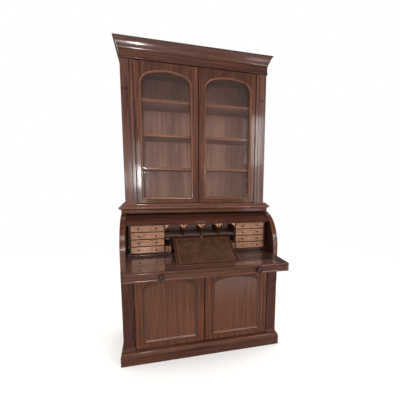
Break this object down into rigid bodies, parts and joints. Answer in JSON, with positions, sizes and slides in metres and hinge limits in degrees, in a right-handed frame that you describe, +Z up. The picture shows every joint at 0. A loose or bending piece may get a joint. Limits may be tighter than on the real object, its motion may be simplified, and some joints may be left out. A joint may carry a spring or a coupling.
{
  "type": "bureau bookcase",
  "caption": "Glazed two-door bookcase on a cylinder-fall writing bureau with a pull-out slide, leather slope, nest of drawers and a cupboard below.",
  "frame": {"origin": "floor level, at the middle of the whole width and depth, slide knobs included", "axes": "+Z up, the front faces -Y, +X to the viewer's right"},
  "size_m": [1.212, 0.884, 2.3],
  "materials": {
    "mahogany": "polished dark mahogany",
    "red_mahogany": "polished red mahogany",
    "inside": "unpolished inside boards",
    "satinwood": "pale polished drawer fronts",
    "leather": "worn tooled leather",
    "glass": "clear sheet glass",
    "brass": "dull brass"
  },
  "bodies": {
    "carcase": {"plinth": "mahogany", "cupboard_floor": "inside", "desk_side_left": "mahogany", "desk_side_right": "mahogany", "desk_back": "inside", "slide_bed": "mahogany", "lower_pilaster_left": "mahogany", "lower_pilaster_right": "mahogany", "desk_top": "mahogany", "waist_moulding": "mahogany", "bookcase_side_left": "mahogany", "bookcase_side_right": "mahogany", "bookcase_floor": "mahogany", "bookcase_top": "mahogany", "bookcase_back": "mahogany", "upper_pilaster_left": "mahogany", "upper_pilaster_right": "mahogany", "shelf_lower": "mahogany", "shelf_middle": "mahogany", "shelf_upper": "mahogany", "cornice": "mahogany", "nest_case_left": "mahogany", "nest_case_right": "mahogany", "pigeonholes": "mahogany"},
    "slide": {"writing_slide": "mahogany", "slide_front": "mahogany", "slide_knob_left": "mahogany", "slide_knob_right": "mahogany"},
    "fall": {"cylinder_fall": "mahogany", "cylinder_knob_left": "mahogany", "cylinder_knob_right": "mahogany"},
    "slope": {"slope_frame": "red_mahogany", "slope_leather": "leather"},
    "strut": {"slope_strut": "mahogany"},
    "upper_door_left_leaf": {"upper_door_left": "mahogany", "glass_left": "glass", "upper_hinge_left_bottom": "brass", "upper_hinge_left_top": "brass"},
    "lower_door_left_leaf": {"lower_door_left": "mahogany", "panel_left": "mahogany", "lower_hinge_left_bottom": "brass", "lower_hinge_left_top": "brass"},
    "drawer_left_first_body": {"drawer_left_first": "satinwood"},
    "drawer_left_second_body": {"drawer_left_second": "satinwood"},
    "drawer_left_third_body": {"drawer_left_third": "satinwood"},
    "drawer_left_fourth_body": {"drawer_left_fourth": "satinwood"},
    "pen_drawer_left_body": {"pen_drawer_left": "satinwood"},
    "upper_door_right_leaf": {"upper_door_right": "mahogany", "glass_right": "glass", "upper_hinge_right_bottom": "brass", "upper_hinge_right_top": "brass"},
    "lower_door_right_leaf": {"lower_door_right": "mahogany", "panel_right": "mahogany", "lower_hinge_right_bottom": "brass", "lower_hinge_right_top": "brass"},
    "drawer_right_first_body": {"drawer_right_first": "satinwood"},
    "drawer_right_second_body": {"drawer_right_second": "satinwood"},
    "drawer_right_third_body": {"drawer_right_third": "satinwood"},
    "drawer_right_fourth_body": {"drawer_right_fourth": "satinwood"},
    "pen_drawer_right_body": {"pen_drawer_right": "satinwood"}
  },
  "joints": [
    {"name": "slide_pull", "type": "slide", "parent": "carcase", "child": "slide", "axis": [0, -1, 0], "range_m": [-0.272, 0]},
    {"name": "fall_turn", "type": "hinge", "parent": "carcase", "child": "fall", "pos_m": [0, 0.13, 0.804], "axis": [-1, 0, 0], "range_deg": [-58.8, 0]},
    {"name": "slope_tilt", "type": "hinge", "parent": "slide", "child": "slope", "pos_m": [0, -0.301, 0.762], "axis": [1, 0, 0], "range_deg": [-24, 0]},
    {"name": "strut_fold", "type": "hinge", "parent": "slide", "child": "strut", "pos_m": [0, -0.181, 0.7445], "axis": [1, 0, 0], "range_deg": [-49, 0]},
    {"name": "upper_door_left_swing", "type": "hinge", "parent": "carcase", "child": "upper_door_left_leaf", "pos_m": [-0.46875, 0.109, 1.148], "axis": [0, 0, -1], "range_deg": [0, 105]},
    {"name": "lower_door_left_swing", "type": "hinge", "parent": "carcase", "child": "lower_door_left_leaf", "pos_m": [-0.50175, -0.1425, 0.1083], "axis": [0, 0, -1], "range_deg": [0, 105]},
    {"name": "drawer_left_first_pull", "type": "slide", "parent": "carcase", "child": "drawer_left_first_body", "axis": [0, -1, 0], "range_m": [0, 0.16]},
    {"name": "drawer_left_second_pull", "type": "slide", "parent": "carcase", "child": "drawer_left_second_body", "axis": [0, -1, 0], "range_m": [0, 0.16]},
    {"name": "drawer_left_third_pull", "type": "slide", "parent": "carcase", "child": "drawer_left_third_body", "axis": [0, -1, 0], "range_m": [0, 0.16]},
    {"name": "drawer_left_fourth_pull", "type": "slide", "parent": "carcase", "child": "drawer_left_fourth_body", "axis": [0, -1, 0], "range_m": [0, 0.16]},
    {"name": "pen_drawer_left_pull", "type": "slide", "parent": "carcase", "child": "pen_drawer_left_body", "axis": [0, -1, 0], "range_m": [0, 0.12]},
    {"name": "upper_door_right_swing", "type": "hinge", "parent": "carcase", "child": "upper_door_right_leaf", "pos_m": [0.46875, 0.109, 1.148], "axis": [0, 0, 1], "range_deg": [0, 105]},
    {"name": "lower_door_right_swing", "type": "hinge", "parent": "carcase", "child": "lower_door_right_leaf", "pos_m": [0.50175, -0.1425, 0.1083], "axis": [0, 0, 1], "range_deg": [0, 105]},
    {"name": "drawer_right_first_pull", "type": "slide", "parent": "carcase", "child": "drawer_right_first_body", "axis": [0, -1, 0], "range_m": [0, 0.16]},
    {"name": "drawer_right_second_pull", "type": "slide", "parent": "carcase", "child": "drawer_right_second_body", "axis": [0, -1, 0], "range_m": [0, 0.16]},
    {"name": "drawer_right_third_pull", "type": "slide", "parent": "carcase", "child": "drawer_right_third_body", "axis": [0, -1, 0], "range_m": [0, 0.16]},
    {"name": "drawer_right_fourth_pull", "type": "slide", "parent": "carcase", "child": "drawer_right_fourth_body", "axis": [0, -1, 0], "range_m": [0, 0.16]},
    {"name": "pen_drawer_right_pull", "type": "slide", "parent": "carcase", "child": "pen_drawer_right_body", "axis": [0, -1, 0], "range_m": [0, 0.12]}
  ],
  "couplings": [
    {"joint": "fall_turn", "follows": "slide_pull", "rad_per_m": 3.7729},
    {"joint": "strut_fold", "follows": "slope_tilt", "ratio": 2.0416}
  ]
}
